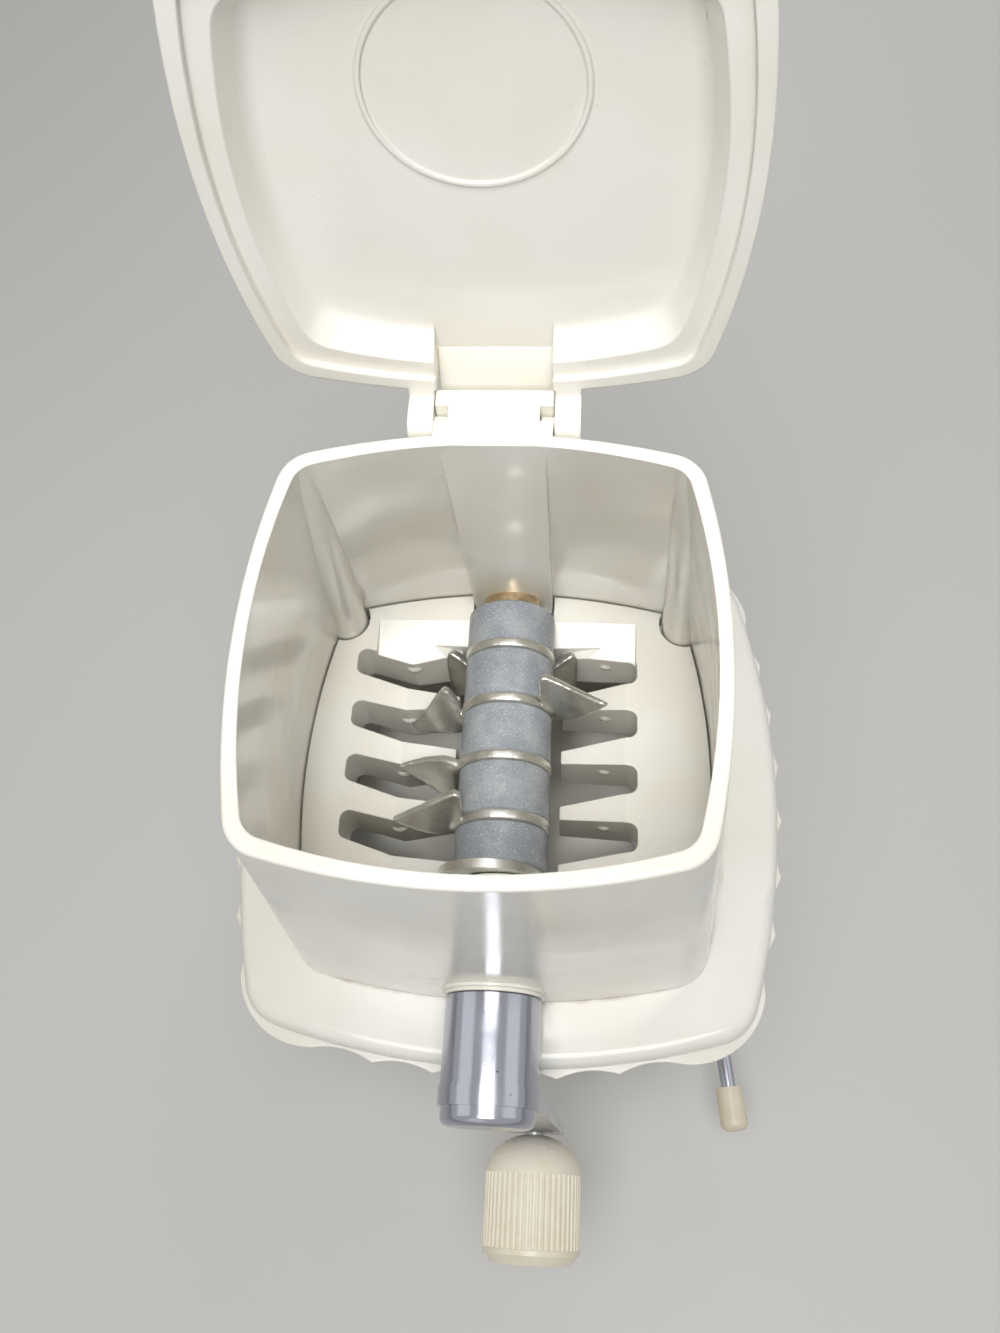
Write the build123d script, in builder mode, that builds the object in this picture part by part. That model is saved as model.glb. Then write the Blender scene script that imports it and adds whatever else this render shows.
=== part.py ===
"""Hand cranked ice crusher with a hinged hopper lid, a fluted ice container and a vacuum base.

Millimetres, +Z up, +X right, +Y back. The origin is on the floor, under the middle of the container.
The crank is at the front (-Y). The model stands as it is used when it is filled: lid open, crank down.
"""

import os
from math import asin, atan2, cos, degrees, hypot, pi, radians, sin, sqrt, tan

from build123d import *

os.makedirs("parts", exist_ok=True)

# ---------------------------------------------------------------- driving dimensions
# general fits
running_gap = 0.05  # radial, journals in their bushes
seat_gap = 0.3  # between bodies that meet face to face
hinge_gap = 0.3
slip_gap = 0.05  # radial, pieces slid onto a shaft

# heights
base_height = 40.0
container_height = 82.0
axis_above_container = 18.5
hopper_height_over_axis = 95.8

# ice container
container_half_width = 79.8
container_half_depth = 82.0
container_bow_side = 11.0
container_bow_end = 11.6
container_corner = 16.0
container_taper = 11.5
container_wall = 2.6
container_floor = 3.0
flute_pitch = 16.5
flute_depth = 1.5
flutes_per_side = 6

# vacuum base
base_half_width = 62.0
base_half_depth = 65.0
base_bow = 7.0
base_corner = 18.0
base_flare = 2.0
base_wall = 2.6
base_roof = 3.0
foot_radius = 7.0
foot_height = 4.0
foot_in_x = 46.0
foot_in_y = 49.0
plate_thickness = 3.0
plate_recess = 1.0

# suction cup and its lever
cup_radius = 36.0
cup_height = 8.0
cup_wall = 3.2
cup_hub_radius = 8.0
cup_above_floor = 0.3
cup_clearance = 2.0
stem_radius = 4.0
lever_rod_radius = 2.5
lever_height = 25.0
lever_pivot_y = -18.0
lever_bend_x = 67.2
lever_bend_radius = 7.0
lever_splay = 7.6
lever_reach = 69.0
lever_tip_radius = 4.7
lever_tip_length = 14.0
lever_tip_grip = 9.0
lever_lug_x = 12.0
lever_lug_width = 4.0
cam_radius = 7.0
cam_width = 8.0
cam_offset = 4.0
yoke_wall = 2.5
yoke_gap = 0.45
yoke_side_gap = 2.0
guide_width = 14.0
guide_thickness = 2.0
clip_radius = 5.0
clip_thickness = 1.2

# hopper housing
hopper_wall = 3.0
hopper_base_half_width = 62.7
hopper_base_half_depth = 63.0
hopper_base_bow = 7.3
hopper_base_corner = 12.0
rim_half_width = 50.6
rim_half_depth = 50.8
rim_bow_side = 5.3
rim_bow_end = 6.6
rim_corner = 8.9
rim_forward = 9.0
shoulder_half_width = 78.2
shoulder_half_depth = 79.6
shoulder_bow_side = 10.4
shoulder_bow_end = 11.0
shoulder_corner = 14.0
shoulder_thickness = 4.3
shoulder_round = 3.4
spigot_depth = 6.0
spigot_wall = 2.2
spigot_gap = 0.5
boss_x = 51.5
boss_y = 48.0
boss_radius = 6.2
boss_top_radius = 4.6
boss_top_x = 44.6
boss_top_y = 44.3
buttress_half_width = 11.8
buttress_front = 52.1
buttress_lean = 0.142
buttress_below = 10.0
inner_tube_radius = 9.6
rim_round = 0.8
pad_radius = 13.4
pad_front = 63.0

# crushing comb
comb_below_axis = 5.0
comb_plate = 3.5
comb_depth = 16.0
comb_depth_outside = 17.0
comb_wall_past_slots = 3.5
comb_gap = 0.4
comb_half_opening = 15.5
trough_drop = 7.0
crease_left = 30.5
crease_right = 34.0
slot_left_end = 46.5
slot_right_end = 37.4
slot_corner = 2.6
slot_mouth = 6.7
slot_right_back = 3.8
slot_right_front = 4.0
slot_left_back = 6.0
slot_left_front = 2.3
slot_bend_back = 2.6
slot_bend_front = 7.5
scoop_right_end = 37.1
scoop_left_end = 41.0
scoop_length = 15.5
scoop_outer_drop = 3.5
back_block_inner = 12.3
back_block_gap = 8.5
bump_radius = 3.0
bump_height = 0.6
bump_x = 28.5
bump_below_top = 9.0
comb_ear = 3.0
comb_ear_wall = 2.0
comb_boss_gap = 1.2
comb_screw_x = 49.5
comb_screw_y = 46.0
comb_screw_head_radius = 3.0
bridge_top = 13.5
bridge_bottom = 23.0

# rotor
rotor_back = 46.1
spacer_radius = 12.7
spacer_lengths = (12.2, 14.0, 14.0, 14.0, 11.0)
spacer_chamfer = 0.5
# angle of each claw's tip from +X towards +Z, the way round its heel points, and the way along Y it leans
claws = (
    ((308, 1, 1), (232, -1, 1)),
    ((19, 1, 1), (200, -1, 1)),
    ((181, 1, -1), (277, -1, -1)),
    ((166, -1, 1), (270, 1, 1)),
)
# share of the way from root to tip: then shares of claw_front, claw_dip, claw_heel and claw_rise there
claw_sections = (
    (0.0, 1.0, 0.0, 0.5, 0.0),
    (0.08, 0.95, 0.35, 0.75, 0.5),
    (0.16, 0.88, 0.7, 1.0, 0.9),
    (0.25, 0.78, 0.9, 0.98, 1.0),
    (0.38, 0.62, 1.0, 0.8, 0.8),
    (0.55, 0.44, 1.0, 0.6, 0.5),
    (0.75, 0.22, 0.8, 0.36, 0.24),
    (0.9, 0.06, 0.6, 0.16, 0.05),
    (1.0, -0.04, 0.42, 0.07, -0.08),
)
blade_thickness = 3.0
blade_hub_radius = 13.1
claw_root = 13.1
claw_reach = 33.0
claw_front = 4.5
claw_dip = 2.2
claw_heel = 9.5
claw_rise = 5.0
claw_thinning = 0.4
square_half = 4.0
rear_journal_radius = 4.0
front_journal_radius = 5.4
bush_radius = 8.2
bush_length = 10.0
bush_stands_out = 5.0
washer_radius = 13.9
washer_bore = 8.2
washer_thickness = 2.4
washer_hang = 2.6

# front bush
collar_radius = 12.9
collar_thickness = 1.0
sleeve_radius = 8.0

# crank
barrel_radius = 12.3
barrel_bore = 10.9
crank_clearance = 3.6
ring_radius = 12.7
ring_length = 4.8
cap_radius = 11.9
cap_length = 4.7
cap_round = 2.4
arm_length = 75.6
arm_lean = 7.3
arm_end_radius = 9.0
arm_thickness = 3.2
arm_set = 2.0
knob_radius = 14.4
knob_length = 35.0
knob_dome = 11.0
knob_end_chamfer = 2.6
knob_ribs = 50
knob_rib_depth = 0.55
spindle_radius = 3.0
spindle_head_radius = 5.0
spindle_head = 2.5
spindle_rivet = 1.5
plug_radius = 9.0
plug_length = 3.0

# lid
lid_open_angle = 90.5
hinge_behind_rim = 5.8
hinge_below_rim = 4.85
lid_overhang = 0.6
lid_lip = 3.0
lid_step = 1.6
lid_groove = 4.0
lid_slope = 3.0
lid_flange = 4.0
lid_crown = 6.5
lid_depth = 8.6
lid_crown_inset = 4.5
lid_ring_radius = 20.0
lid_ring_from_hinge = 74.0
lid_ring_width = 1.0
lid_ring_height = 0.4
lid_hollow_corner = 8.0
lid_hollow_round = 3.0
lid_channel_half = 13.0
lid_channel_wall = 2.4
lid_flange_round = 1.5
lid_crown_round = 2.5
ear_inner = 13.6
ear_outer = 19.4
ear_radius = 4.0
pin_radius = 2.0
pin_stub = 3.0
tongue_half = 13.3
tongue_back = 6.9
tongue_top = 4.5
tongue_bottom = 4.6

# screws
screw_radius = 1.7
screw_head_radius = 3.4
screw_head = 2.2
screw_length = 12.0

# ---------------------------------------------------------------- levels worked out from them
container_rim_z = base_height + container_height
axis_z = container_rim_z + axis_above_container
rim_z = axis_z + hopper_height_over_axis
buttress_above = rim_z - axis_z
shoulder_z = container_rim_z + seat_gap
comb_top_z = axis_z - comb_below_axis
boss_bottom_z = axis_z - 12.0


# ---------------------------------------------------------------- outlines
def bowed_outline(half_width, half_depth, bow_side, bow_end, corner):
    """Rounded rectangle whose sides bulge by bow_side and bow_end, as a face about the origin."""
    x, y = half_width - bow_side, half_depth - bow_end
    with BuildSketch(mode=Mode.PRIVATE) as outline:
        with BuildLine():
            ThreePointArc((x, -y), (half_width, 0), (x, y))
            ThreePointArc((x, y), (0, half_depth), (-x, y))
            ThreePointArc((-x, y), (-half_width, 0), (-x, -y))
            ThreePointArc((-x, -y), (0, -half_depth), (x, -y))
        make_face()
        fillet(outline.vertices(), corner)
    return outline.sketch


def container_outline(inset=0.0):
    """Smooth outline of the ice container, drawn in by inset."""
    return bowed_outline(
        container_half_width - inset,
        container_half_depth - inset,
        container_bow_side,
        container_bow_end,
        container_corner - inset / 2,
    )


def hopper_outline_at(z, inset=0.0):
    """Outline of the hopper's tapered wall at height z, drawn in by inset, and its middle's y."""
    t = (z - shoulder_z) / (rim_z - shoulder_z)

    def between(low, high):
        return low + (high - low) * t

    outline = bowed_outline(
        between(hopper_base_half_width, rim_half_width) - inset,
        between(hopper_base_half_depth, rim_half_depth) - inset,
        between(hopper_base_bow, rim_bow_side),
        between(hopper_base_bow, rim_bow_end),
        between(hopper_base_corner, rim_corner) - inset,
    )
    return outline, -rim_forward * t


def fluted_outline(inset):
    """Container outline with hollow flutes between sharp ridges, drawn in by inset."""
    half_width = container_half_width - inset
    half_depth = container_half_depth - inset
    x_corner = half_width - container_bow_side
    y_corner = half_depth - container_bow_end
    side_radius = (y_corner**2 + container_bow_side**2) / (2 * container_bow_side)
    end_radius = (x_corner**2 + container_bow_end**2) / (2 * container_bow_end)

    def ridges(half, radius, count):
        """Points along one bulging side: count flutes, evenly spaced by angle."""
        span = count * flute_pitch * (1 - inset / container_half_width)
        step = 2 * asin(span / 2 / radius) / count
        return [
            (half - radius + radius * cos(a), radius * sin(a))
            for a in [(k - count / 2) * step for k in range(count + 1)]
        ]

    right = ridges(half_width, side_radius, flutes_per_side + 1)
    back = ridges(half_depth, end_radius, flutes_per_side)
    back = [(-y, x) for x, y in back]
    loop = right + back + [(-x, -y) for x, y in right] + [(-x, -y) for x, y in back]
    with BuildSketch(mode=Mode.PRIVATE) as outline:
        with BuildLine():
            for k, start in enumerate(loop):
                end = loop[(k + 1) % len(loop)]
                chord = hypot(end[0] - start[0], end[1] - start[1])
                middle = ((start[0] + end[0]) / 2, (start[1] + end[1]) / 2)
                outward = ((end[1] - start[1]) / chord, -(end[0] - start[0]) / chord)
                is_corner = (k + 1) in (len(right), len(right) + len(back), 2 * len(right) + len(back), len(loop))
                rise = chord * 0.2 if is_corner else -flute_depth
                through = (middle[0] + outward[0] * rise, middle[1] + outward[1] * rise)
                ThreePointArc(start, through, end)
        make_face()
    return outline.sketch


def save(part, name):
    part.label = name
    export_step(part, f"parts/{name}.step")


# ================================================================= ICE CONTAINER AND BASE (stands still)
cavity_inset = container_wall + flute_depth
with BuildPart() as ice_container:
    with BuildSketch(Plane.XY.offset(base_height)):
        add(fluted_outline(container_taper))
    with BuildSketch(Plane.XY.offset(container_rim_z)):
        add(fluted_outline(0))
    loft(ruled=True)
    with BuildSketch(Plane.XY.offset(base_height + container_floor)):
        add(container_outline(container_taper + cavity_inset))
    with BuildSketch(Plane.XY.offset(container_rim_z)):
        add(container_outline(cavity_inset))
    loft(ruled=True, mode=Mode.SUBTRACT)
save(ice_container.part, "ice_container")


def base_outline(inset=0.0):
    return bowed_outline(base_half_width - inset, base_half_depth - inset, base_bow, base_bow, base_corner - inset)


base_floor_z = foot_height - plate_recess
plate_top_z = foot_height + plate_thickness
with BuildPart() as base_housing:
    with BuildSketch(Plane.XY.offset(base_floor_z)):
        add(base_outline(-base_flare))
    with BuildSketch(Plane.XY.offset(base_height)):
        add(base_outline())
    loft(ruled=True)
    with BuildSketch(Plane.XY.offset(base_floor_z)):
        add(base_outline(base_wall - base_flare))
    with BuildSketch(Plane.XY.offset(base_height - base_roof)):
        add(base_outline(base_wall))
    loft(ruled=True, mode=Mode.SUBTRACT)
    # pillars for the screws of the bottom plate, and the lug that carries the cross shaft's inner end
    with BuildSketch(Plane.XY.offset(plate_top_z)):
        with GridLocations(2 * foot_in_x, 2 * foot_in_y, 2, 2):
            Circle(boss_radius)
    extrude(amount=base_height - base_roof - plate_top_z)
    with Locations((lever_lug_x + lever_lug_width / 2, lever_pivot_y, lever_height - 5)):
        Box(
            lever_lug_width,
            4 * lever_rod_radius + 2,
            base_height - base_roof - lever_height + 5,
            align=(Align.CENTER, Align.CENTER, Align.MIN),
        )
    with BuildSketch(Plane.YZ.offset(lever_lug_x - 1)):
        with Locations((lever_pivot_y, lever_height)):
            Circle(lever_rod_radius + running_gap)
    extrude(amount=base_half_width, mode=Mode.SUBTRACT)
    with BuildSketch(Plane.YZ.offset(base_half_width - 1)):
        with Locations((lever_pivot_y, lever_height)):
            Circle(lever_rod_radius + 0.9)
    extrude(amount=base_wall + base_flare, mode=Mode.SUBTRACT)
    with BuildSketch(Plane.XY.offset(plate_top_z)):
        with GridLocations(2 * foot_in_x, 2 * foot_in_y, 2, 2):
            Circle(screw_radius)
    extrude(amount=screw_length, mode=Mode.SUBTRACT)
save(base_housing.part, "base_housing")

cup_place = (0, lever_pivot_y)
with BuildPart() as base_plate:
    with BuildSketch(Plane.XY.offset(foot_height)):
        add(base_outline(base_wall))
        with Locations(cup_place):
            Circle(cup_radius + cup_clearance, mode=Mode.SUBTRACT)
        with GridLocations(2 * foot_in_x, 2 * foot_in_y, 2, 2):
            Circle(screw_radius, mode=Mode.SUBTRACT)
    extrude(amount=plate_thickness)
    # bridge over the cup that guides its stem
    guide_z = cup_height + cup_clearance
    guide_leg_x = cup_radius + 2 * cup_clearance
    with Locations((0, lever_pivot_y, guide_z)):
        Box(
            2 * (guide_leg_x + guide_thickness),
            guide_width,
            guide_thickness,
            align=(Align.CENTER, Align.CENTER, Align.MIN),
        )
    for side in (-1, 1):
        with Locations((side * (guide_leg_x + guide_thickness / 2), lever_pivot_y, foot_height)):
            Box(
                guide_thickness,
                guide_width,
                guide_z - foot_height + guide_thickness,
                align=(Align.CENTER, Align.CENTER, Align.MIN),
            )
    with Locations((0, lever_pivot_y, guide_z)):
        Cylinder(stem_radius + seat_gap, 4 * guide_thickness, mode=Mode.SUBTRACT)
save(base_plate.part, "base_plate")

with BuildPart() as base_screws:
    with BuildSketch(Plane.XY.offset(foot_height)):
        with GridLocations(2 * foot_in_x, 2 * foot_in_y, 2, 2):
            Circle(screw_radius)
    extrude(amount=plate_thickness + screw_length - 1)
    with BuildSketch(Plane.XY.offset(foot_height - screw_head)):
        with GridLocations(2 * foot_in_x, 2 * foot_in_y, 2, 2):
            Circle(screw_head_radius)
    extrude(amount=screw_head)
save(base_screws.part, "base_screws")

with BuildPart() as rubber_feet:
    with BuildSketch():
        with GridLocations(2 * foot_in_x, 2 * foot_in_y, 2, 2):
            Circle(foot_radius)
            Circle(screw_head_radius + slip_gap, mode=Mode.SUBTRACT)
    extrude(amount=foot_height)
    chamfer(rubber_feet.edges().filter_by(GeomType.CIRCLE).group_by(Axis.Z)[0].sort_by(SortBy.RADIUS)[-4:], 0.8)
save(rubber_feet.part, "rubber_feet")

# ================================================================= VACUUM LEVER
lever_direction = Vector(sin(radians(lever_splay)), -cos(radians(lever_splay)), 0)
lever_bend = Vector(lever_bend_x, lever_pivot_y, lever_height)
lever_end = lever_bend + lever_direction * (lever_reach / lever_direction.Y * -1)
with BuildPart() as lever_rod:
    with BuildLine() as lever_path:
        FilletPolyline(
            (-cam_width / 2 - 2, lever_pivot_y, lever_height),
            lever_bend,
            lever_end - lever_direction * (lever_tip_length - lever_tip_grip),
            radius=lever_bend_radius,
        )
    with BuildSketch(Plane.YZ.offset(-cam_width / 2 - 2)):
        with Locations((lever_pivot_y, lever_height)):
            Circle(lever_rod_radius)
    sweep()
save(lever_rod.part, "lever_rod")

lever_tip_plane = Plane(origin=lever_end, x_dir=(0, 0, 1), z_dir=lever_direction * -1)
with BuildPart() as lever_tip:
    with BuildSketch(lever_tip_plane):
        Circle(lever_tip_radius)
    extrude(amount=lever_tip_length, taper=1.5)
    fillet(lever_tip.faces().sort_by(Axis.Y)[0].edges(), 2.8)
    with BuildSketch(lever_tip_plane.offset(lever_tip_length - lever_tip_grip)):
        Circle(lever_rod_radius)
    extrude(amount=lever_tip_grip, mode=Mode.SUBTRACT)
save(lever_tip.part, "lever_tip")

cam_plane = Plane.YZ.offset(-cam_width / 2)
with BuildPart() as lever_cam:
    with BuildSketch(cam_plane):
        with Locations((lever_pivot_y + cam_offset, lever_height)):
            Circle(cam_radius)
        with Locations((lever_pivot_y, lever_height)):
            Circle(lever_rod_radius, mode=Mode.SUBTRACT)
    extrude(amount=cam_width)
save(lever_cam.part, "lever_cam")

with BuildPart() as lever_clip:
    with BuildSketch(Plane.YZ.offset(lever_lug_x + lever_lug_width + seat_gap)):
        with Locations((lever_pivot_y, lever_height)):
            Circle(clip_radius)
            Circle(lever_rod_radius, mode=Mode.SUBTRACT)
    extrude(amount=clip_thickness)
save(lever_clip.part, "lever_clip")

# ================================================================= SUCTION CUP
yoke_half_height = cam_radius + yoke_gap
yoke_half_width = cam_radius + yoke_side_gap
yoke_bottom_z = lever_height - yoke_half_height - yoke_wall
cup_hub_z = cup_height / 2
with BuildPart() as suction_stem:
    with BuildSketch(Plane.YZ.offset(-stem_radius)):
        with Locations((lever_pivot_y + cam_offset / 2, lever_height)):
            RectangleRounded(2 * (yoke_half_width + yoke_wall) + cam_offset, 2 * (yoke_half_height + yoke_wall), 3)
            Rectangle(2 * yoke_half_width + cam_offset, 2 * yoke_half_height, mode=Mode.SUBTRACT)
    extrude(amount=2 * stem_radius)
    with Locations((*cup_place, cup_hub_z)):
        Cylinder(stem_radius, yoke_bottom_z + 1 - cup_hub_z, align=(Align.CENTER, Align.CENTER, Align.MIN))
save(suction_stem.part, "suction_stem")

with BuildPart() as suction_cup:
    with BuildSketch(Plane.XZ):
        with BuildLine():
            Polyline(
                (stem_radius, cup_height),
                (cup_hub_radius, cup_height),
                (cup_hub_radius, cup_height - 1.5),
                (cup_radius * 0.66, cup_height * 0.55),
                (cup_radius * 0.92, cup_height * 0.24),
                (cup_radius, cup_above_floor + 0.8),
                (cup_radius, cup_above_floor),
                (cup_radius - 2, cup_above_floor),
                (cup_radius * 0.66, cup_height * 0.55 - cup_wall),
                (cup_hub_radius, cup_hub_z - 1.5),
                (0, cup_hub_z - 1.4),
                (0, cup_hub_z),
                (stem_radius, cup_hub_z),
                close=True,
            )
        make_face()
    revolve(axis=Axis.Z)
suction_cup_part = suction_cup.part.moved(Location((0, lever_pivot_y, 0)))
save(suction_cup_part, "suction_cup")

# ================================================================= HOPPER HOUSING
hopper_base_outline, _ = hopper_outline_at(shoulder_z)
rim_outline, rim_y = hopper_outline_at(rim_z)
with BuildPart() as hopper_solid:
    with BuildSketch(Plane.XY.offset(shoulder_z)):
        add(hopper_base_outline)
    with BuildSketch(Plane.XY.offset(rim_z)):
        with Locations((0, rim_y)):
            add(rim_outline)
    loft(ruled=True)
    fillet(hopper_solid.faces().sort_by(Axis.Z)[-1].edges(), rim_round)

with BuildPart() as corner_bosses:
    for side in (-1, 1):
        for end in (-1, 1):
            with BuildSketch(Plane.XY.offset(boss_bottom_z)):
                with Locations((side * boss_x, end * boss_y)):
                    Circle(boss_radius)
            with BuildSketch(Plane.XY.offset(rim_z - 0.8)):
                with Locations((side * boss_top_x, end * boss_top_y - rim_forward)):
                    Circle(boss_top_radius)
            loft(ruled=True)
    add(hopper_solid.part, mode=Mode.INTERSECT)

with BuildPart() as buttress:
    with BuildSketch(Plane.YZ):
        front_low = buttress_front + buttress_lean * buttress_below
        front_high = buttress_front - buttress_lean * buttress_above
        with BuildLine():
            Polyline(
                (front_low, axis_z - buttress_below),
                (front_high, axis_z + buttress_above),
                (front_high + 6, axis_z + buttress_above),
                (front_low + 8, axis_z - buttress_below),
                close=True,
            )
        make_face()
    extrude(amount=buttress_half_width, both=True)
    fillet(buttress.edges().filter_by(Axis.Y, tolerance=0.01).group_by(Axis.Z)[0], 3)
    add(hopper_solid.part, mode=Mode.INTERSECT)

inner_wall_low, _ = hopper_outline_at(shoulder_z, hopper_wall)
inner_wall_high, _ = hopper_outline_at(rim_z, hopper_wall)
hinge_y = rim_half_depth - rim_forward + hinge_behind_rim
hinge_z = rim_z - hinge_below_rim
washer_front = rotor_back - sum(spacer_lengths) - 4 * blade_thickness - washer_thickness
with BuildPart() as hopper_housing:
    add(hopper_solid.part)
    with BuildSketch(Plane.XY.offset(shoulder_z)):
        add(
            bowed_outline(
                shoulder_half_width, shoulder_half_depth, shoulder_bow_side, shoulder_bow_end, shoulder_corner
            )
        )
    shoulder = extrude(amount=shoulder_thickness, mode=Mode.PRIVATE)
    top_edges = shoulder.faces().sort_by(Axis.Z)[-1].edges()
    add(shoulder.fillet(shoulder_round, top_edges))
    # spigot that locates the hopper inside the container's mouth
    with BuildSketch(Plane.XY.offset(shoulder_z - spigot_depth)):
        spigot_inset = cavity_inset + spigot_gap + container_taper * spigot_depth / container_height
        add(container_outline(spigot_inset))
        add(container_outline(spigot_inset + spigot_wall), mode=Mode.SUBTRACT)
    extrude(amount=spigot_depth + 1)
    # flat round pad for the front bush
    with BuildSketch(Plane.XZ.offset(pad_front)):
        with Locations((0, axis_z)):
            Circle(pad_radius)
    extrude(amount=-8)
    # hollow it
    with BuildSketch(Plane.XY.offset(shoulder_z)):
        add(inner_wall_low)
    with BuildSketch(Plane.XY.offset(rim_z)):
        with Locations((0, rim_y)):
            add(inner_wall_high)
    loft(ruled=True, mode=Mode.SUBTRACT)
    add(corner_bosses.part)
    add(buttress.part)
    # front bearing tube inside
    with BuildSketch(Plane.XZ.offset(pad_front - 2)):
        with Locations((0, axis_z)):
            Circle(inner_tube_radius)
    extrude(amount=-(pad_front - 2 + washer_front - seat_gap))
    with BuildSketch(Plane.XZ.offset(pad_front)):
        with Locations((0, axis_z)):
            Circle(sleeve_radius)
    extrude(amount=-(pad_front + washer_front), mode=Mode.SUBTRACT)
    # seat of the rear bush
    with BuildSketch(Plane.XZ.offset(-(rotor_back + 1))):
        with Locations((0, axis_z)):
            Circle(bush_radius)
    extrude(amount=-bush_length, mode=Mode.SUBTRACT)
    # screw holes in the bosses
    with BuildSketch(Plane.XY.offset(boss_bottom_z)):
        with GridLocations(2 * comb_screw_x, 2 * comb_screw_y, 2, 2):
            Circle(screw_radius)
    extrude(amount=screw_length, mode=Mode.SUBTRACT)
    # hinge tongue with open slots for the lid's stub pins
    with BuildSketch(Plane.YZ):
        with BuildLine():
            Polyline(
                (hinge_y - hinge_behind_rim - 1, hinge_z - tongue_bottom - 5),
                (hinge_y + 1, hinge_z - tongue_bottom),
                (hinge_y + tongue_back - 1.5, hinge_z - tongue_bottom),
                (hinge_y + tongue_back, hinge_z - tongue_bottom + 1.5),
                (hinge_y + tongue_back, hinge_z + tongue_top - 0.6),
                (hinge_y + tongue_back - 0.6, hinge_z + tongue_top),
                (hinge_y - hinge_behind_rim - 1, hinge_z + tongue_top),
                close=True,
            )
        make_face()
    extrude(amount=tongue_half, both=True)
    for side in (-1, 1):
        with BuildSketch(Plane.YZ.offset(side * (tongue_half + tongue_half - pin_stub) / 2)):
            with Locations((hinge_y, hinge_z)):
                Circle(pin_radius + 0.08)
            with Locations((hinge_y, hinge_z + tongue_top / 2 + 0.5)):
                Rectangle(2 * (pin_radius + 0.08), tongue_top + 1)
        extrude(amount=pin_stub / 2 + 0.01, both=True, mode=Mode.SUBTRACT)
save(hopper_housing.part, "hopper_housing")

# ================================================================= CRUSHING COMB
blade_ys = []
spacer_backs = [rotor_back]
for length in spacer_lengths[:-1]:
    blade_ys.append(spacer_backs[-1] - length - blade_thickness / 2)
    spacer_backs.append(spacer_backs[-1] - length - blade_thickness)
trough_z = comb_top_z - trough_drop
finger_tip_z = trough_z - comb_depth
comb_bottom_z = comb_top_z - comb_depth_outside
comb_reach = hopper_base_half_width


def comb_profile(side, crease, slot_end):
    """Section of one side of the comb, seen from the front."""
    block_end = slot_end + comb_wall_past_slots
    return Polyline(
        (side * comb_half_opening, trough_z),
        (side * crease, comb_top_z),
        (side * comb_reach, comb_top_z),
        (side * comb_reach, comb_top_z - comb_plate),
        (side * block_end, comb_top_z - comb_plate),
        (side * block_end, comb_bottom_z),
        (side * comb_half_opening, finger_tip_z),
        close=True,
    )


def scoop_section(x, low_z):
    """Wedge behind the rearmost slot, from the comb's top down to low_z at the slot."""
    slot_back = blade_ys[0] + slot_bend_back
    with BuildSketch(Plane.YZ.offset(x), mode=Mode.PRIVATE) as wedge:
        with BuildLine():
            Polyline(
                (slot_back, low_z),
                (blade_ys[0] + scoop_length, comb_top_z),
                (blade_ys[0] + scoop_length, comb_top_z + 1),
                (slot_back, comb_top_z + 1),
                close=True,
            )
        make_face()
    return wedge.sketch


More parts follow.
